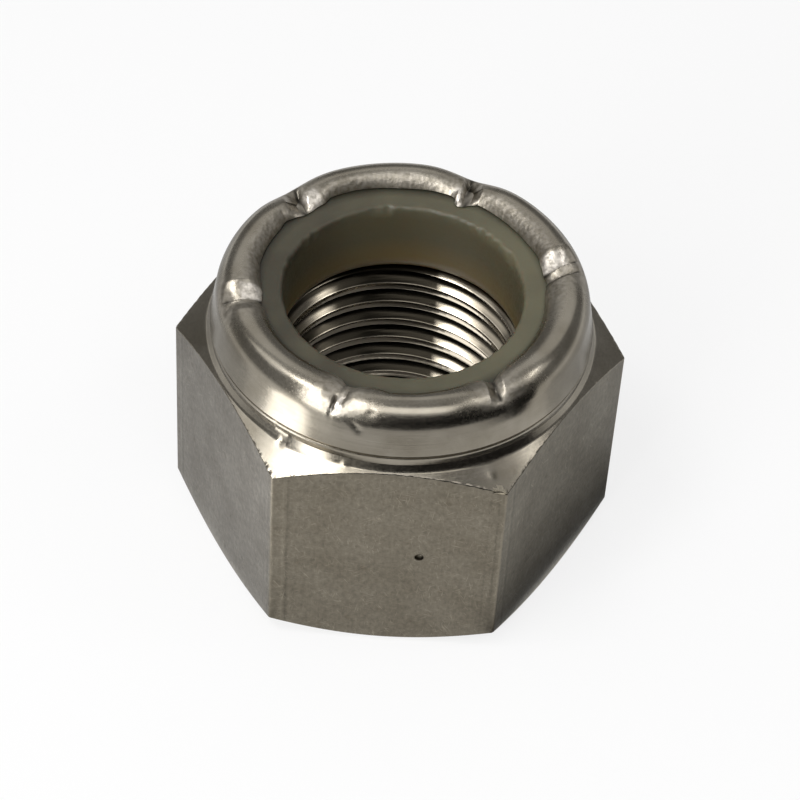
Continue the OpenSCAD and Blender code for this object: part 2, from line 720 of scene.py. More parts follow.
        shoulder, crown = (shoulder_x, shoulder_z), (crown_x, crown_z)
        stations += arc(
            shoulder, self.shoulder_r, self.wall_lean, self.crown_start, 13, Zone.SHOULDER
        )[1:]
        stations += arc(crown, self.crown_r, self.crown_start, end_tilt, 24, Zone.CROWN)[1:]
        return stations

    def inner_section(self) -> list[Station]:
        """The hollow for the ring, its seat and the bore.

        Returns:
            The stations from the hollow's ceiling down to the lower lead-in.
        """
        cavity_r = self.wall_r - self.wall_t
        lead_h = (self.lead_r - self.minor_r) * math.tan(math.radians(self.lead_angle))
        seat_lead_h = lead_h * (self.seat_lead_r - self.minor_r) / (self.lead_r - self.minor_r)
        stations = line(
            (cavity_r - 0.5, self.ceiling), (cavity_r, self.ceiling - 0.5), 2, Zone.HOLLOW
        )
        stations += line((cavity_r, self.seat_z), (self.seat_lead_r, self.seat_z), 2, Zone.HOLLOW)
        stations += line(
            (self.minor_r, self.seat_z - seat_lead_h), (self.minor_r, lead_h), 2, Zone.BORE
        )
        return stations

    def hexagon_radius(self, off_corner: np.ndarray) -> np.ndarray:
        """How far the hexagon reaches, with its upright edges rounded.

        Args:
            off_corner: the way round from the nearest corner, in radians.

        Returns:
            The radius at each angle.
        """
        half_side = math.pi / HEX_SIDES
        corner_r = self.corner_r
        flat = self.across_flats / 2 / np.cos(half_side - np.abs(off_corner))
        centre = corner_r - self.corner_round / math.cos(half_side)
        reach = np.sqrt(np.maximum(self.corner_round**2 - (centre * np.sin(off_corner)) ** 2, 0.0))
        touch = self.corner_round * math.tan(half_side)
        limit = math.atan2(touch * math.cos(half_side), corner_r - touch * math.sin(half_side))
        rounded = centre * np.cos(off_corner) + reach
        return np.where(np.abs(off_corner) < limit, rounded, flat)

    def mill(self, shell: Shell) -> None:
        """Brings the blank's side in to the hexagon and rounds its edges.

        Args:
            shell: the blank's vertices.
        """
        step = FULL_TURN / HEX_SIDES
        side_r = self.hexagon_radius((shell.angle + step / 2) % step - step / 2)
        lift = 1 / math.cos(math.radians(self.chamfer_angle))
        arc_from, arc_span = self.edge_arc
        meets = {}
        for upper, inner_r in ((False, self.bearing_r), (True, self.foot_r)):
            rounding = np.minimum(self.edge_r, self.edge_growth * np.maximum(side_r - inner_r, 0.0))
            centre_r = side_r - rounding
            fall = (centre_r - inner_r) * self.slope + rounding * lift
            meets[upper] = self.hex_height - fall if upper else fall
            chamfer = shell.within(Zone.UPPER_CHAMFER if upper else Zone.LOWER_CHAMFER)
            outer_r = side_r - rounding / 2
            along = 1 - shell.share if upper else shell.share
            new_r = inner_r + along * (outer_r - inner_r)
            new_z = (new_r - inner_r) * self.slope
            shell.r = np.where(chamfer, new_r, shell.r)
            shell.z = np.where(chamfer, self.hex_height - new_z if upper else new_z, shell.z)
            edge = shell.within(Zone.UPPER_EDGE if upper else Zone.LOWER_EDGE)
            way = shell.share if upper else 1 - shell.share
            tilt = math.radians(90 - self.chamfer_angle) * (arc_from + arc_span * way)
            sign = 1 if upper else -1
            shell.r = np.where(edge, centre_r + rounding * np.cos(tilt), shell.r)
            shell.z = np.where(edge, meets[upper] + sign * rounding * np.sin(tilt), shell.z)
        side = shell.within(Zone.SIDE)
        rise = meets[False] + shell.share * (meets[True] - meets[False])
        shell.r, shell.z = np.where(side, side_r, shell.r), np.where(side, rise, shell.z)

    def press(self, shell: Shell) -> None:
        """Presses the crimps into the lip.

        Args:
            shell: the milled body's vertices.
        """
        r, z = shell.r, shell.z
        lip = shell.within(Zone.SHOULDER, Zone.CROWN)
        lip |= shell.within(Zone.WALL) & (z > self.height - self.lip_depth)
        outside = r > self.crest_r
        base = np.where(outside, self.height - self.shoulder_r, self.ceiling)
        lift = np.clip((z - base) / (self.height - base), 0.0, 1.0)
        edge_at, edge_r = zip(*self.lip_edge)
        edge = np.interp(np.degrees(shell.angle) % 360, edge_at, edge_r, period=360)
        reach = (self.crest_r - edge) / (self.crest_r - r[lip].min())
        shell.r = np.where(lip & ~outside, self.crest_r - (self.crest_r - r) * reach, r)
        inner_fade, outer_fade = self.stroke_fades
        fall = np.zeros_like(r)
        for crimp in self.crimps:
            fall += crimp.sag * np.exp(-((shell.across(crimp.angle) / self.sag_w) ** 2))
            for stroke in crimp.strokes:
                across = shell.across(stroke.angle, stroke.skew, self.crest_r)
                width = np.where(across < 0, stroke.before, stroke.after)
                notch = np.clip(1 - np.hypot(across / width, stroke.root / width), 0.0, 1.0)
                ends = smooth_step((stroke.outer - shell.r) / outer_fade)
                ends *= smooth_step((shell.r - stroke.inner) / inner_fade)
                fall += stroke.depth * notch * ends
        shell.z = np.where(lip, z - fall * lift, z)
        push = np.where(outside, self.push_share * fall * lift, 0.0)
        shell.r = np.where(lip, shell.r - push, shell.r)

    def knock(self, shell: Shell) -> None:
        """Knocks the dings into the outside and roughens the upper edge.

        Args:
            shell: the crimped body's vertices.
        """
        outer = shell.zone < Zone.HOLLOW.value
        sink = np.zeros_like(shell.r)
        for ding in self.dings:
            side = turn_between(shell.angle, math.radians(ding.angle)) * ding.r
            away = np.sqrt(side**2 + (shell.r - ding.r) ** 2 + (shell.z - ding.z) ** 2)
            sink += ding.depth * np.exp(-((away / ding.radius) ** 2))
        inward = np.where(shell.z > self.hex_height + 1, self.wall_sink, self.hex_sink)
        shell.r = np.where(outer, shell.r - sink * inward, shell.r)
        shell.z = np.where(outer, shell.z - sink * (1 - inward), shell.z)
        ragged = Ripple(seed=5, lowest=60, highest=180).at(shell.angle) * self.ragged_h
        shell.z = np.where(shell.within(Zone.UPPER_EDGE), shell.z + ragged, shell.z)

    def tap(self) -> Piece:
        """The tap that cuts the thread.

        Returns:
            A closed solid, which runs past both ends of the threaded stretch.
        """
        depth = self.major_r - self.minor_r
        flank = depth * math.tan(math.radians(self.flank_angle))
        root = self.pitch / self.root_part
        crest = self.pitch - root - 2 * flank
        start = -3 * self.pitch + self.pitch / self.phase_part
        ease = self.thread_ease
        steps = [
            (0.3 * ease, 0.0),
            (0.0, ease),
            (0.0, crest - ease),
            (0.3 * ease, crest),
            (1.2 * ease, crest + 0.6 * ease),
            (depth - ease, crest + flank - 0.6 * ease),
            (depth, crest + flank + 0.3 * ease),
            (depth, crest + flank + root - 0.3 * ease),
            (depth - ease, crest + flank + root + 0.6 * ease),
            (1.2 * ease, self.pitch - 0.6 * ease),
            (0.3 * ease, self.pitch),
        ]
        outline = [(self.minor_r + out, start + up) for out, up in steps]
        tap = Bench.outline("tap", outline, closed=False)
        screw = tap.modifiers.new("turns", "SCREW")
        screw.axis = "Z"
        screw.screw_offset = self.pitch
        screw.iterations = self.thread_turns
        screw.steps = screw.render_steps = self.thread_steps
        screw.use_merge_vertices = False
        Bench.apply(tap, screw)
        Bench.edit()
        bpy.ops.mesh.remove_doubles(threshold=MERGE)
        below, above = self.tap_past
        for level, up in ((-below, False), (self.seat_z + above, True)):
            bpy.ops.mesh.select_all(action="SELECT")
            bpy.ops.mesh.bisect(
                plane_co=(0, 0, level),
                plane_no=(0, 0, 1),
                use_fill=True,
                clear_outer=up,
                clear_inner=not up,
            )
        bpy.ops.mesh.select_all(action="SELECT")
        bpy.ops.mesh.normals_make_consistent(inside=False)
        Bench.leave()
        return tap

    def drills(self) -> Piece:
        """The small round cutters that leave the pits.

        Returns:
            All of them as one piece.
        """
        Bench.clear()
        made = []
        for pit in self.pits:
            bpy.ops.mesh.primitive_ico_sphere_add(subdivisions=3, radius=1, location=pit.place)
            ball = bpy.context.object
            ball.scale = pit.size
            Bench.apply_moves()
            made.append(ball)
        for ball in made:
            ball.select_set(True)
        bpy.context.view_layer.objects.active = made[0]
        bpy.ops.object.join()
        return made[0]

    def build(self) -> Piece:
        """Turns, mills, crimps and taps the body.

        Returns:
            The finished body.
        """
        stations = self.section()
        body = Bench.outline("steel_body", [(s.r, s.z) for s in stations], closed=True)
        Bench.lathe(body, self.columns)
        shell = Shell.of(body)
        shell.know(stations)
        self.crowd(shell)
        self.mill(shell)
        self.press(shell)
        self.knock(shell)
        shell.shape(body)
        Bench.cut(body, self.tap())
        Bench.cut(body, self.drills())
        self.mark(body)
        Bench.finish(body, crease=32)
        return body

    def mark(self, body: Piece) -> None:
        """Paints the masks that the steel's finishes read, and gives each face its finish.

        Args:
            body: the cut body, in millimetres.
        """
        shell = Shell.of(body)
        self.mark_flats(body, shell)
        Bench.paint(body, "bare_patch_highlight", self.bare_patch_highlight(shell))
        Bench.paint(body, "crease_shade", self.crease_shade(shell))
        Bench.paint(body, "scuff", self.scuffed(shell))
        self.give_finishes(body)

    def mark_flats(self, body: Piece, shell: Shell) -> None:
        """Paints the way along each flat, the lines that milling left near its ends, and the
        painted highlights along the hexagon's corners.

        Args:
            body: the body.
            shell: its vertices.
        """
        step = FULL_TURN / HEX_SIDES
        side = np.floor(shell.angle / step)
        off_middle = shell.angle - (side + 0.5) * step
        flat = shell.r * np.cos(off_middle) > self.across_flats / 2 - 0.03
        along = shell.r * np.sin(off_middle)
        Bench.paint(body, "flat_along", along + side * self.flat_shift)
        rolled = np.zeros_like(along)
        # The lines at ±5.46 mm lie on the corners and have negative strengths: they paint
        # highlights there.
        for at, width, strength in self.flat_lines_and_corner_highlights:
            rolled += strength * np.exp(-(((along - at) / width) ** 2))
        Bench.paint(body, "rolled", rolled * flat)

    def scuffed(self, shell: Shell) -> np.ndarray:
        """Where crimping scuffed the lip: round each crimp and along its inner edge.

        Args:
            shell: the body's vertices.

        Returns:
            The mask, from 0 to 1.
        """
        front_fade = smooth_step(shell.r * np.sin(shell.angle) / 4 + 0.8)
        mask = smooth_step((self.scuff_r - shell.r) / 0.3) * front_fade
        for crimp in self.crimps:
            near = np.exp(-((shell.across(crimp.angle) / self.scuff_w) ** 2))
            mask = np.maximum(mask, near)
        return mask * smooth_step((shell.z - self.lip_mark_z) / 0.3)

    def bare_patch_highlight(self, shell: Shell) -> np.ndarray:
        """Where the crimping tool left bare metal, which the turned finish paints very light as a
        painted highlight.

        Args:
            shell: the body's vertices.

        Returns:
            The mask, from 0 to 1.
        """
        mask = np.zeros_like(shell.r)
        for stamp in self.stamps:
            across = np.abs(shell.across(stamp.angle))
            inside = smooth_step((stamp.half - across) / 0.16 + 0.5)
            inside *= smooth_step((shell.r - stamp.inner) / 0.25 + 0.5)
            inside *= smooth_step((stamp.outer - shell.r) / 0.25 + 0.5)
            mask = np.maximum(mask, inside * (shell.z > self.lip_mark_z))
        return mask

    def crease_shade(self, shell: Shell) -> np.ndarray:
        """Where painted shade darkens the crimps' grooves.

        Args:
            shell: the body's vertices.

        Returns:
            The mask, from 0 to 1.
        """
        mask = np.zeros_like(shell.r)
        for stroke in (stroke for crimp in self.crimps for stroke in crimp.strokes):
            depth = max(stroke.depth, 0.0)
            across = shell.across(stroke.angle, stroke.skew, self.crest_r)
            held = np.exp(-((across / (0.04 + 0.17 * depth)) ** 2)) * min(1.0, depth / 0.4)
            held *= smooth_step((stroke.outer - 0.1 - shell.r) / 0.2)
            held *= smooth_step((shell.r - stroke.inner) / 0.2) * (shell.z > self.crease_shade_z)
            mask = np.maximum(mask, held)
        return mask

    def give_finishes(self, body: Piece) -> None:
        """Gives each face its finish: milled flats, a tapped bore, and turned for the rest.

        Args:
            body: the body.
        """
        faces = body.data.polygons
        centre = np.zeros(len(faces) * 3, np.float32)
        normal = np.zeros(len(faces) * 3, np.float32)
        faces.foreach_get("center", centre)
        faces.foreach_get("normal", normal)
        centre, normal = centre.reshape(-1, 3), normal.reshape(-1, 3)
        centre_r = np.hypot(centre[:, 0], centre[:, 1])
        milled = (np.abs(normal[:, 2]) < 0.1) & (centre_r > self.across_flats / 2 - 0.04)
        for pit in self.pits:
            milled |= np.linalg.norm(centre - np.array(pit.place), axis=1) < self.pit_reach
        tapped = (centre_r < self.lead_r) & (centre[:, 2] < self.seat_z - 0.01)
        tapped &= (centre[:, 2] > 0.001) | (centre_r < self.lead_r - 0.01)
        skin = np.where(tapped, Skin.TAPPED.value, Skin.TURNED.value)
        skin = np.where(milled, Skin.MILLED.value, skin)
        faces.foreach_set("material_index", skin.astype(np.int32))

    def crowd(self, shell: Shell) -> None:
        """Moves the columns closer together near the hexagon's corners.

        Args:
            shell: the blank's vertices.
        """
        step = FULL_TURN / HEX_SIDES
        side = np.floor(shell.angle / step)
        along = (shell.angle / step - side) * 2 - 1
        eased = self.corner_crowd * along
        eased += (1 - self.corner_crowd) * np.sin(along * math.pi / 2)
        shell.angle = (side + (eased + 1) / 2) * step


@dataclass
class InsertRing:
    """The captive nylon ring."""

    bottom: float
    top: float
    outer_r: float
    bore_r: float = 5.775
    edge_r: float = 0.2
    chamfer: float = 0.5
    flare: float = 0.3
    flare_h: float = 0.6
    columns: int = 360
    worn_h: float = 0.05
    nicks: tuple[Nick, ...] = (
        Nick(100.4, 2.2, 0.13),
        Nick(107.0, 6.0, 0.08),
        Nick(31.0, 3.0, 0.12),
    )

    def section(self) -> list[Station]:
        """The ring's section.

        Returns:
            The stations from the bottom inner edge round.
        """
        flare_r = self.bore_r + self.flare
        stations = line((flare_r, self.bottom), (self.outer_r, self.bottom), 4, Zone.HOLLOW)
        stations += line(
            (self.outer_r, self.top - self.chamfer),
            (self.outer_r - self.chamfer, self.top),
            2,
            Zone.HOLLOW,
        )
        stations += line(
            (self.outer_r - self.chamfer - 0.1, self.top),
            (self.bore_r + self.edge_r, self.top),
            8,
            Zone.HOLLOW,
        )
        stations += arc(
            (self.bore_r + self.edge_r, self.top - self.edge_r), self.edge_r, 90, 180, 6, Zone.BORE
        )[1:]
        stations += line(
            (self.bore_r, self.top - self.edge_r - 0.2),
            (self.bore_r, self.bottom + self.flare_h),
            12,
            Zone.BORE,
        )
        stations.append(
            Station(self.bore_r + 0.1, self.bottom + 0.4 * self.flare_h, Zone.BORE, 1.0)
        )
        return stations

    def build(self) -> Piece:
        """Turns the ring.

        Returns:
            The finished ring.
        """
        stations = self.section()
        ring = Bench.outline("nylon_ring", [(s.r, s.z) for s in stations], closed=True)
        Bench.lathe(ring, self.columns)
        shell = Shell.of(ring)
        worn = self.worn_h * np.abs(Ripple(seed=11, lowest=8, highest=40).at(shell.angle))
        for nick in self.nicks:
            away = np.degrees(turn_between(shell.angle, math.radians(nick.angle))) / nick.width
            worn += nick.depth * np.exp(-(away**2))
        inner = smooth_step((self.bore_r + 0.45 - shell.r) / 0.2)
        shell.r += worn * inner * smooth_step((shell.z - self.top + 0.35) / 0.2)
        shell.shape(ring)
        Bench.finish(ring, crease=40)
        return ring


class Coat:
    """A material laid out in millimetres, with the tools that the finishes share."""

    def __init__(self, name: str) -> None:
        """Starts the material.

        Args:
            name: the material's name.
        """
        self.material = bpy.data.materials.new(name)
        self.material.use_nodes = True
        self.tree = self.material.node_tree
        self.tree.nodes.clear()
        self.place = self.scaled(self.node("TexCoord").outputs["Object"], (1 / MM,) * 3)

    def node(self, kind: str, settings: dict | None = None, **inputs: object) -> bpy.types.Node:
        """Adds a node.

        Args:
            kind: the node's type, without its "ShaderNode" start.
            settings: properties of the node itself.
            **inputs: sockets by name, with _ for a space; a value or a socket that feeds it.

        Returns:
            The new node.
        """
        made = self.tree.nodes.new("ShaderNode" + kind)
        for key, value in (settings or {}).items():
            setattr(made, key, value)
        for key, value in inputs.items():
            socket = made.inputs[int(key[1:]) if key[1:].isdigit() else key.replace("_", " ")]
            if isinstance(value, Socket):
                self.tree.links.new(value, socket)
            else:
                socket.default_value = value
        return made

    def close(self, shader: Socket) -> None:
        """Joins the last shader to the material's output."""
        output = self.tree.nodes.new("ShaderNodeOutputMaterial")
        self.tree.links.new(shader, output.inputs["Surface"])

    def scaled(self, vector: Socket, scale: Triple) -> Socket:
        """A vector with each part scaled."""
        made = self.node("VectorMath", {"operation": "MULTIPLY"}, _0=vector, _1=scale)
        return made.outputs[0]

    def math(self, operation: str, *terms: object) -> Socket:
        """Works through the terms, numbers or sockets, two at a time.

        Args:
            operation: the sum's name.
            *terms: two or more of them.

        Returns:
            The result.
        """
        total = terms[0]
        for term in terms[1:]:
            total = self.node("Math", {"operation": operation}, _0=total, _1=term).outputs[0]
        return total

    def parts(self) -> bpy.types.bpy_prop_collection:
        """The place in millimetres as X, Y and Z."""
        return self.node("SeparateXYZ", Vector=self.place).outputs

    def length(self, vector: Socket) -> Socket:
        """A vector's length."""
        return self.node("VectorMath", {"operation": "LENGTH"}, _0=vector).outputs["Value"]

    def off_axis(self) -> Socket:
        """The distance from the nut's axis, in millimetres."""
        return self.length(self.scaled(self.place, (1.0, 1.0, 0.0)))

    def mask(self, name: str) -> Socket:
        """A mask that was painted on the mesh."""
        return self.node("Attribute", {"attribute_name": name}).outputs["Fac"]

    def noise(self, vector: Socket, scale: float, detail: float = 2.0) -> Socket:
        """Cloudy noise, mostly within NOISE_RANGE."""
        return self.node("TexNoise", Vector=vector, Scale=scale, Detail=detail).outputs["Fac"]

    def spread(self, noise: Socket, start: float, end: float) -> Socket:
        """Takes a noise's usual range to start..end."""
        return self.ramp(noise, *NOISE_RANGE, start, end)

    def ramp(
        self, value: Socket, low: float, high: float, start: float = 0.0, end: float = 1.0
    ) -> Socket:
        """Takes low..high to start..end, and holds it there.

        Args:
            value: what is read.
            low: the value that gives start.
            high: the value that gives end.
            start: the result at low.
            end: the result at high.

        Returns:
            The result.
        """
        made = self.node("MapRange", _0=value, _1=low, _2=high, _3=start, _4=end)
        return made.outputs[0]

    def blend(self, share: object, first: object, second: object) -> Socket:
        """Mixes two colours.

        Args:
            share: how much of the second, from 0 to 1.
            first: the first colour.
            second: the second colour.

        Returns:
            The mixed colour.
        """
        made = self.node(
            "Mix", {"data_type": "RGBA", "clamp_factor": True}, _0=share, _6=first, _7=second
        )
        return made.outputs[2]

    def tint(self, colour: object, factor: Socket) -> Socket:
        """A colour made lighter or darker.

        Args:
            colour: the colour.
            factor: what it is multiplied by.

        Returns:
            The new colour.
        """
        made = self.node("VectorMath", {"operation": "SCALE"}, _0=colour)
        self.tree.links.new(factor, made.inputs["Scale"])
        return made.outputs[0]

    def streaks(self, along: Socket, up: Socket, turn: float, seed: float) -> Socket:
        """Fine short scratches that all lie one way.

        Args:
            along: the way along the surface, in millimetres.
            up: the height, in millimetres.
            turn: which way the scratches lie, in degrees.
            seed: a shift, so that no two sets are alike.

        Returns:
            A mask of thin lines.
        """
        flat = self.node("CombineXYZ", X=along, Y=up, Z=seed).outputs[0]
        axis, radians = {"rotation_type": "Z_AXIS"}, math.radians(turn)
        turned = self.node("VectorRotate", axis, Vector=flat, Angle=radians).outputs[0]
        fine = self.noise(self.scaled(turned, (1.3, 15.0, 1.0)), 1.0, 1.0)
        return self.ramp(fine, 0.67, 0.72)

    def metal(
        self, colour: object, rough: object, strength: float, depth: float, relief: object,
        **more: object,
    ) -> bpy.types.Material:
        """Closes the material as bare metal.

        Args:
            colour: its colour.
            rough: its roughness.
            strength: the bump's strength.
            depth: the bump's depth in metres.
            relief: the bump's height.
            **more: other sockets of the shader.

        Returns:
            The material.
        """
        bump = self.node("Bump", Strength=strength, Distance=depth, Height=relief).outputs[0]
        more |= {"Base_Color": colour, "Metallic": 1.0, "Roughness": rough, "Normal": bump}
        self.close(self.node("BsdfPrincipled", **more).outputs["BSDF"])
        return self.material

    def shade(self, share: object) -> bpy.types.Material:
        """Closes the material as a black that can be seen through.

        Args:
            share: how much of it is black, from 0 to 1.

        Returns:
            The material.
        """
        dark = self.node("BsdfDiffuse", Color=BLACK).outputs[0]
        clear = self.node("BsdfTransparent").outputs[0]
        self.close(self.node("MixShader", _0=share, _1=clear, _2=dark).outputs[0])
        return self.material


@dataclass(frozen=True)
class MilledFinish:
    """The hexagon's flats: satin, grained, with fine scratches every way.

    Pairs are the places between which a change runs. strip_along is the square of the way
    along a flat.
    """

    light: Colour = (0.235, 0.214, 0.170, 1.0)
    dark: Colour = (0.190, 0.171, 0.133, 1.0)
    stain: Colour = (0.12, 0.10, 0.072, 1.0)
    # The pit's centre: round it the flats are painted almost black, as painted shade in the hollow.
    pit: Triple = (1.62, -9.525, 6.3)
    left_reflection_tint: Triple = (1.08, 1.10, 1.20)
    scratch_turns: tuple[float, ...] = (12.0, 55.0, 100.0, 150.0, 78.0)
    strip_along: Pair = (22.6, 23.6)
    front_y: Pair = (-9.45, -9.4)
    darker_below_z: Pair = (1.5, 8.5)
    left_reflection_x: Pair = (-5.7, -5.45)

    def make(self) -> bpy.types.Material:
        """Lays out the nodes.

        Returns:
            The material.
        """
        c = Coat("milled_steel")
        x, y, height = c.parts()
        along = c.mask("flat_along")
        sheet = c.node("CombineXYZ", X=along, Y=height, Z=0.0).outputs[0]
        grain = c.noise(sheet, 7.0, 3.0)
        streaks = [
            c.streaks(along, height, turn, 7.0 * index)
            for index, turn in enumerate(self.scratch_turns)
        ]
        lines = c.math("MAXIMUM", *streaks)
        cloud = c.ramp(c.noise(sheet, 0.5, 3.0), 0.35, 0.65)
        spots = c.ramp(c.noise(sheet, 1.6, 2.0), 0.64, 0.74, 0.0, 0.5)
        colour = c.blend(spots, c.blend(cloud, self.dark, self.light), self.stain)
        # Painted shade: inside the pit the colour falls almost to black.
        away = c.node("VectorMath", {"operation": "DISTANCE"}, _0=c.place, _1=self.pit)
        colour = c.tint(colour, c.ramp(away.outputs["Value"], 0.2, 0.26, 0.03, 1.0))
        # Painted reflection: the left flat is tinted cooler, as if it reflected cooler
        # surroundings.
        reflection_cooled = c.scaled(colour, self.left_reflection_tint)
        # Near both of its ends the front flat is blended towards the stain colour, which makes it
        # darker there.
        strips = c.ramp(c.math("MULTIPLY", along, along), *self.strip_along, 0.0, 0.4)
        strips = c.math("MULTIPLY", strips, c.ramp(y, *self.front_y, 1.0, 0.0))
        colour = c.blend(strips, colour, self.stain)
        # The flats are darker towards the bottom and lighter towards the top.
        colour = c.tint(colour, c.ramp(height, *self.darker_below_z, 0.9, 1.06))
        colour = c.blend(c.ramp(x, *self.left_reflection_x, 1.0, 0.0), colour, reflection_cooled)
        mottle = c.spread(c.noise(c.scaled(sheet, (4.5, 3.0, 1.0)), 1.0, 4.0), 0.84, 1.16)
        drawn = c.spread(c.noise(c.scaled(sheet, (11.0, 0.7, 1.0)), 1.0, 2.0), 0.96, 1.04)
        factor = c.math("MULTIPLY", mottle, drawn, c.spread(grain, 0.9, 1.1))
        patches = c.ramp(c.noise(sheet, 0.9, 2.0), 0.4, 0.62, 0.12, 0.5)
        factor = c.math("ADD", factor, c.math("MULTIPLY", lines, patches))
        # The milling lines darken the flats; the corner lines, where the mask is negative, are
        # painted highlights.
        factor = c.math("SUBTRACT", factor, c.math("MULTIPLY", c.mask("rolled"), 0.22))
        relief = c.math("SUBTRACT", grain, c.math("MULTIPLY", lines, 0.35))
        return c.metal(c.tint(colour, factor), c.spread(grain, 0.34, 0.46), 0.35, 0.00003, relief)


@dataclass(frozen=True)
class TurnedFinish:
    """The skin of the collar, the lip and the chamfers, with painted shade on the right front
    chamfer and in the crimps' grooves, and painted highlights on the patches that the tool left
    bare.
    """

    light: Colour = (0.325, 0.297, 0.246, 1.0)
    dark: Colour = (0.250, 0.224, 0.178, 1.0)
    scuffed: Colour = (0.47, 0.43, 0.37, 1.0)
    bare_highlight_colour: Colour = (0.80, 0.745, 0.67, 1.0)
    anisotropy: float = 0.45
    chamfer_shade_x: Pair = (1.5, 3.8)
    chamfer_shade_y: Pair = (-3.0, -6.0)
    chamfer_shade_z: Pair = (12.1, 12.02)

    def make(self) -> bpy.types.Material:
        """Lays out the nodes.

        Returns:
            The material.
        """
        c = Coat("turned_steel")
        x, y, height = c.parts()
        cloud = c.ramp(c.noise(c.place, 0.45, 3.0), 0.35, 0.65)
        grain = c.noise(c.place, 9.0, 2.0)
        rings = c.noise(c.scaled(c.place, (0.12, 0.12, 14.0)), 1.0, 2.0)
        scuff = c.mask("scuff")
        speckle = c.ramp(c.noise(c.place, 4.0, 3.0), 0.36, 0.60)
        colour = c.blend(cloud, self.dark, self.light)
        colour = c.blend(c.math("MULTIPLY", scuff, speckle, 0.65), colour, self.scuffed)
        # Painted highlight: the patches that the tool left bare are blended towards a very light
        # colour.
        bare = c.math("MULTIPLY", c.mask("bare_patch_highlight"), c.ramp(speckle, 0.0, 1.0, 0.35, 1.0))
        colour = c.blend(bare, colour, self.bare_highlight_colour)
        # Painted shade: in the crimps' grooves the colour falls to an eighth.
        colour = c.tint(colour, c.ramp(c.mask("crease_shade"), 0.0, 1.0, 1.0, 0.12))
        # Painted shade: the right front chamfer is darkened to 55 percent.
        chamfer_shade = c.math(
            "MULTIPLY",
            c.ramp(x, *self.chamfer_shade_x),
            c.ramp(y, *self.chamfer_shade_y),
            c.ramp(height, *self.chamfer_shade_z),
        )
        colour = c.tint(colour, c.ramp(chamfer_shade, 0.0, 1.0, 1.0, 0.55))
        factor = c.math("MULTIPLY", c.spread(rings, 0.96, 1.04), c.spread(grain, 0.95, 1.05))
        rough = c.math("ADD", c.spread(grain, 0.195, 0.27), c.math("MULTIPLY", scuff, 0.2))
        cells = c.node("TexVoronoi", Vector=c.place, Scale=4.5).outputs["Distance"]
        relief = c.math(
            "ADD",
            c.math("MULTIPLY", rings, 0.2),
            c.math("MULTIPLY", grain, 0.03),
            c.math("MULTIPLY", scuff, cells, 1.6),
        )
        round_axis = c.node(
            "VectorMath", {"operation": "CROSS_PRODUCT"}, _0=(0.0, 0.0, 1.0), _1=c.place
        )
        return c.metal(
            c.tint(colour, factor), rough, 0.28, 0.00003, relief,
            Anisotropic=self.anisotropy, Anisotropic_Rotation=0.25, Tangent=round_axis.outputs[0],
        )


@dataclass(frozen=True)
class ThreadFinish:
    """The tapped thread: bright crests over dark residue with painted shade, painted lighter at the
    right and the upper left, where the light falls.
    """

    crest: Colour = (0.44, 0.395, 0.32, 1.0)
    clean: Colour = (0.215, 0.190, 0.150, 1.0)
    residue_and_shade: Colour = (0.022, 0.019, 0.014, 1.0)
    minor_r: float = 5.75
    lit_right_x: Pair = (1.6, 1.85)
    lit_left_x: Pair = (-4.3, -3.3)
    lit_left_z: Pair = (7.4, 8.2)

    def make(self) -> bpy.types.Material:
        """Lays out the nodes.

        Returns:
            The material.
        """
        c = Coat("tapped_steel")
        x, _, height = c.parts()
        reach = c.off_axis()
        flank = c.ramp(reach, self.minor_r + 0.02, self.minor_r + 0.06)
        deep = c.ramp(reach, self.minor_r + 0.22, self.minor_r + 0.34)
        # Painted light: the thread is painted lighter on the right and at the upper left, where the
        # light falls; there the flanks are clean and the crests are lighter still.
        high = c.ramp(height, *self.lit_left_z)
        left = c.math("MULTIPLY", c.ramp(x, *self.lit_left_x, 1.0, 0.0), high)
        lit_sides = c.math("MAXIMUM", c.ramp(x, *self.lit_right_x), left)
        grain = c.noise(c.scaled(c.place, (0.4, 0.4, 9.0)), 1.0, 2.0)
        # Elsewhere the flanks and the roots are dark: residue with painted shade.
        flanks = c.blend(lit_sides, self.residue_and_shade, self.clean)
        flanks = c.blend(deep, flanks, self.residue_and_shade)
        crests = c.blend(lit_sides, self.clean, self.crest)
        colour = c.tint(c.blend(flank, crests, flanks), c.spread(grain, 0.85, 1.15))
        return c.metal(colour, c.spread(grain, 0.12, 0.22), 0.2, 0.00002, grain)


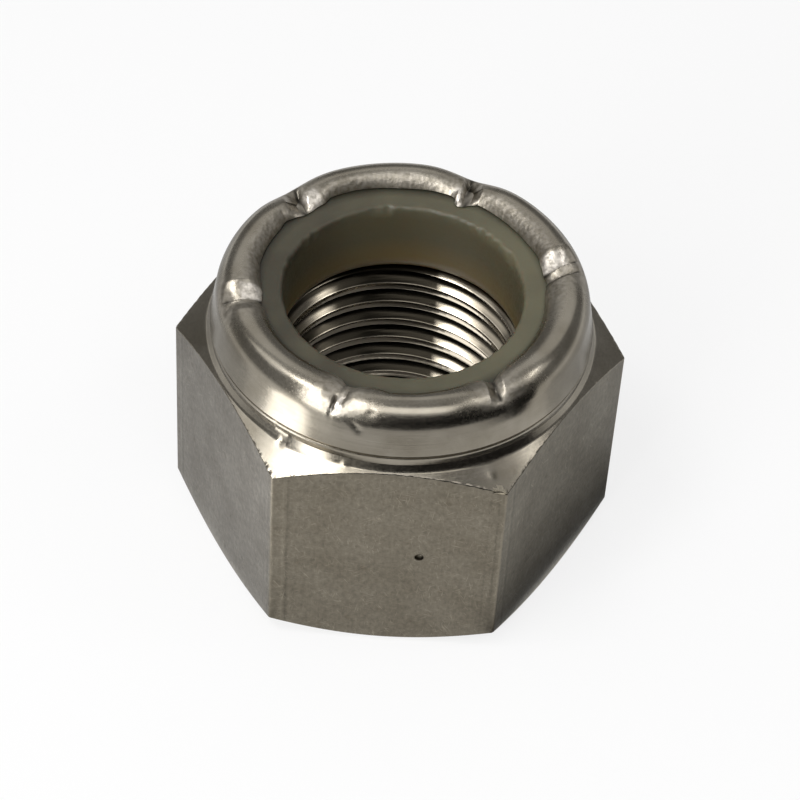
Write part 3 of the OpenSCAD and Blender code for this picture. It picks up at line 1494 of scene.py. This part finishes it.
@dataclass(frozen=True)
class NylonFinish:
    """Olive-grey nylon that lets a little light in, painted lighter towards +X, with a painted
    golden reflection where it meets the thread and painted shade under the lip's edge.
    """

    light: Colour = (0.100, 0.093, 0.058, 1.0)
    dark: Colour = (0.043, 0.038, 0.025, 1.0)
    golden_reflection: Colour = (0.110, 0.076, 0.025, 1.0)
    wall: Colour = (0.066, 0.056, 0.030, 1.0)
    top: float = 14.75
    bottom: float = 10.65

    def make(self) -> bpy.types.Material:
        """Lays out the nodes.

        Returns:
            The material.
        """
        c = Coat("olive_nylon")
        x, _, height = c.parts()
        # Painted light and shade: the ring runs from the dark colour at -X to the light colour at
        # +X, with a random cloud of tone.
        cloud = c.spread(c.noise(c.place, 0.4, 3.0), -0.25, 0.25)
        lit_side_and_cloud = c.math("ADD", c.ramp(x, -7.0, 7.0), cloud)
        colour = c.blend(lit_side_and_cloud, self.dark, self.light)
        walled = c.ramp(height, self.top - 0.1, self.top - 0.8)
        # Painted reflection: near the bottom, by the thread, the nylon turns golden.
        reflected_low = c.ramp(height, self.bottom + 2.2, self.bottom + 0.3)
        colour = c.blend(reflected_low, c.blend(walled, colour, self.wall), self.golden_reflection)
        # Painted shade: the top face darkens towards the lip's edge, where the lip overhangs it.
        colour = c.tint(colour, c.ramp(c.off_axis(), 6.65, 7.15, 1.0, 0.35))
        grain = c.noise(c.place, 6.0, 2.0)
        bump = c.node("Bump", Strength=0.15, Distance=0.00003, Height=grain)
        surface = c.node(
            "BsdfPrincipled",
            Base_Color=colour,
            Roughness=c.spread(grain, 0.38, 0.5),
            Specular_IOR_Level=0.35,
            Subsurface_Weight=0.25,
            Subsurface_Scale=0.001,
            Normal=bump.outputs[0],
        )
        c.close(surface.outputs["BSDF"])
        return c.material


@dataclass(frozen=True)
class Lamp:
    """A soft box: where it stands, where it looks, its size in metres and its brightness."""

    name: str
    place: Triple
    size: Pair
    brightness: float

    def hang(self, aim: Vector) -> Piece:
        """Adds the lamp.

        Args:
            aim: the point that it looks at.

        Returns:
            The lamp.
        """
        Bench.clear()
        bpy.ops.object.light_add(type="AREA", location=self.place)
        lamp = bpy.context.object
        lamp.name = self.name
        lamp.rotation_euler = (aim - Vector(self.place)).to_track_quat("-Z", "Y").to_euler()
        lamp.data.shape = "RECTANGLE"
        lamp.data.size, lamp.data.size_y = self.size
        lamp.data.energy = self.brightness * math.pi * self.size[0] * self.size[1]
        return lamp


@dataclass(frozen=True)
class Shine(Lamp):
    """A soft box that lies on the floor face up, and shows only in the metal."""

    turn: float = 0.0

    def lay(self) -> None:
        """Adds the lamp where it lies."""
        lying = self.hang(Vector(self.place) + Vector((0, 0, 1)))
        lying.rotation_euler = (math.pi, 0, math.radians(self.turn))
        lying.visible_camera = False


@dataclass
class Studio:
    """The floor, the lamps and the camera.

    Lamps, cards and shades are placed in metres. Pairs that end in reach, and bore_floor,
    are distances in millimetres between which a material changes. The dark card stands
    round the front from card_from to card_to degrees.
    """

    azimuth: float = 0.275
    elevation: float = 46.184
    roll: float = 3.748
    distance: float = 147.159
    aim: Triple = (0.177, 0.0, 7.122)
    focal_px: float = 2955.4
    image_px: int = 800
    sensor: float = 36.0
    floor_size: float = 3.0
    floor_glow: float = 0.82
    world: float = 0.22
    card_r: float = 0.042
    card_h: float = 0.040
    card_from: float = 240.0
    card_to: float = 338.0
    shade_start: Triple = (0.0056, -0.0098, 0.0002)
    shade_size: Pair = (0.0135, 0.0155)
    shade_past: float = 0.002
    shade_reach: Pair = (9.7, 14.8)
    back_shade_size: Pair = (0.13, 0.066)
    back_shade_place: Triple = (0.0, 0.028, 0.00015)
    back_shade_reach: Pair = (13.0, 26.0)
    lamps: tuple[Lamp, ...] = (
        Lamp("hot", (-0.151, -0.071, 0.385), (0.10, 0.10), 13.0),
        Lamp("window", (-0.114, -0.166, 0.102), (0.10, 0.22), 6.0),
        Lamp("front_high", (-0.02, -0.212, 0.332), (0.46, 0.20), 2.1),
        Lamp("dome", (0.0, 0.16, 0.6), (0.8, 0.4), 0.2),
        Lamp("back_high", (0.0, 0.30, 0.34), (0.6, 0.2), 0.6),
        Lamp("left_high", (-0.26, 0.025, 0.33), (0.16, 0.16), 1.3),
        Lamp("bore_window", (-0.192, -0.040, 0.345), (0.085, 0.085), 3.6),
        Lamp("right", (0.25, -0.03, 0.29), (0.20, 0.22), 1.0),
        Lamp("right_spark", (0.25, 0.02, 0.335), (0.06, 0.06), 7.0),
    )
    shines: tuple[Shine, ...] = (
        Shine("table_shine", (-0.0313, -0.0236, 0.0005), (0.035, 0.012), 4.0, 37.0),
        Shine("bore_shine", (-0.00435, 0.00118, 0.0003), (0.009, 0.0038), 2.2, 48.0),
    )
    bore_floor: Pair = (6.0, 7.5)

    def camera(self) -> None:
        """Places the camera where the photograph's stood."""
        az, el, roll = (math.radians(a) for a in (self.azimuth, self.elevation, self.roll))
        away = Vector((math.sin(az) * math.cos(el), -math.cos(az) * math.cos(el), math.sin(el)))
        level = Vector((math.cos(az), math.sin(az), 0))
        rise = level.cross(-away)
        right = math.cos(roll) * level + math.sin(roll) * rise
        up = -math.sin(roll) * level + math.cos(roll) * rise
        place = (Vector(self.aim) + self.distance * away) * MM
        Bench.clear()
        bpy.ops.object.camera_add()
        camera = bpy.context.object
        turn = Matrix((right, up, away)).transposed().to_4x4()
        camera.matrix_world = Matrix.Translation(place) @ turn
        camera.data.sensor_width = self.sensor
        camera.data.lens = self.focal_px / self.image_px * self.sensor
        camera.data.clip_start = 0.001
        bpy.context.scene.camera = camera

    def floor(self) -> None:
        """Lays the pale floor."""
        floor = Bench.sheet("floor", (self.floor_size, self.floor_size), (0, 0, 0))
        c = Coat("pale_floor")
        seen = c.node("LightPath").outputs
        rays = [seen[f"Is {ray} Ray"] for ray in ("Camera", "Glossy", "Transmission")]
        open_floor = c.ramp(c.length(c.place), *self.bore_floor)
        share = c.math("MULTIPLY", c.math("MAXIMUM", *rays), self.floor_glow, open_floor)
        surface = c.node("BsdfDiffuse", Color=(0.86, 0.86, 0.86, 1.0)).outputs[0]
        glow = c.node("Emission", Color=(0.95, 0.95, 0.95, 1.0), Strength=1.0).outputs[0]
        c.close(c.node("MixShader", _0=share, _1=surface, _2=glow).outputs[0])
        floor.data.materials.append(c.material)

    def light(self) -> None:
        """Hangs the lamps and sets the world's own light."""
        for lamp in self.lamps:
            lamp.hang(Vector((0, 0, 0.01)))
        for shine in self.shines:
            shine.lay()
        world = bpy.data.worlds.new("studio")
        world.use_nodes = True
        background = world.node_tree.nodes["Background"]
        background.inputs["Color"].default_value = (1.0, 1.0, 1.0, 1.0)
        background.inputs["Strength"].default_value = self.world
        bpy.context.scene.world = world

    def shade(self, side: int, near: float, far: float) -> Piece:
        """Lays a thin shade beside a flat, which darkens only what the metal reflects.

        Args:
            side: 1 for the right flat, -1 for the left one.
            near: how dark the shade is where it touches the flat, from 0 to 1.
            far: how dark it is at its far edge.

        Returns:
            The shade.
        """
        shade = Bench.sheet("dark_shade", (1, 1), (0.5, 0, 0))
        along = Vector((0.5, math.sqrt(0.75), 0))
        away = Vector((math.sqrt(0.75), 0.5, 0))
        start = Vector(self.shade_start) - self.shade_past * along
        width, length = self.shade_size
        for vertex in shade.data.vertices:
            out, up = vertex.co.x, vertex.co.y + 0.5
            vertex.co = start + length * up * along + width * out * away
            vertex.co.x *= side
        c = Coat("grey_shade")
        across = c.node("VectorMath", {"operation": "DOT_PRODUCT"}, _0=c.place)
        across.inputs[1].default_value = (side * math.sqrt(0.75), -0.5, 0.0)
        share = c.ramp(across.outputs["Value"], *self.shade_reach, near, far)
        shade.data.materials.append(c.shade(share))
        return shade

    def back_shade(self) -> Piece:
        """Lays a wide grey shade behind the nut, which shows only in the metal.

        Returns:
            The shade.
        """
        shade = Bench.sheet("back_shade", self.back_shade_size, self.back_shade_place)
        c = Coat("back_shade")
        share = c.ramp(c.length(c.place), *self.back_shade_reach, 0.0, 0.45)
        shade.data.materials.append(c.shade(share))
        return shade

    def card(self) -> None:
        """Stands the dark card and lays the shades, which show only in the metal."""
        Bench.clear()
        bpy.ops.mesh.primitive_circle_add(vertices=72, radius=self.card_r)
        card = bpy.context.object
        card.name = "dark_card"
        Bench.edit()
        bpy.ops.mesh.extrude_region_move(TRANSFORM_OT_translate={"value": (0, 0, self.card_h)})
        bpy.ops.mesh.select_mode(type="FACE")
        bpy.ops.mesh.select_all(action="DESELECT")
        Bench.leave()
        for face in card.data.polygons:
            azimuth = math.degrees(math.atan2(face.center.y, face.center.x)) % 360
            face.select = not self.card_from < azimuth < self.card_to
        bpy.ops.object.mode_set(mode="EDIT")
        bpy.ops.mesh.delete(type="FACE")
        Bench.leave()
        card.data.materials.append(Coat("black_card").shade(1.0))
        shades = (self.shade(1, 1.0, 0.42), self.shade(-1, 0.32, 0.25), self.back_shade())
        for dark in (card, *shades):
            dark.visible_camera = dark.visible_diffuse = dark.visible_shadow = False
            dark.visible_transmission = False

    def build(self) -> None:
        """Sets up everything that isn't part of the nut."""
        self.camera()
        self.floor()
        self.card()
        self.light()
        bpy.context.scene.view_settings.view_transform = "Standard"


def dress(piece: Piece, materials: list[bpy.types.Material], node: str) -> None:
    """Gives a piece its finishes and its place in the frame.

    Args:
        piece: the finished piece; its faces already say which finish each has.
        materials: its finishes.
        node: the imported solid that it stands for.
    """
    for material in materials:
        piece.data.materials.append(material)
    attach(piece, "root")
    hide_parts(node)
    LOG.info("%s: %d faces", piece.name, len(piece.data.polygons))


def main() -> None:
    """Builds the nut and the studio round it."""
    logging.basicConfig(level=logging.INFO, format="%(name)s %(message)s")
    low, high = (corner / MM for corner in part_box("nut_body"))
    ring_low, ring_high = (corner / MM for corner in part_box("insert_ring"))
    body = NutBody(
        height=high.z, across_flats=high.y - low.y, seat_z=ring_low.z, insert_top=ring_high.z
    )
    steel = [TurnedFinish().make(), MilledFinish().make(), ThreadFinish().make()]
    dress(body.build(), steel, "nut_body")
    ring = InsertRing(bottom=ring_low.z, top=ring_high.z, outer_r=ring_high.x)
    dress(ring.build(), [NylonFinish().make()], "insert_ring")
    Studio().build()


if __name__ == "__main__":
    main()
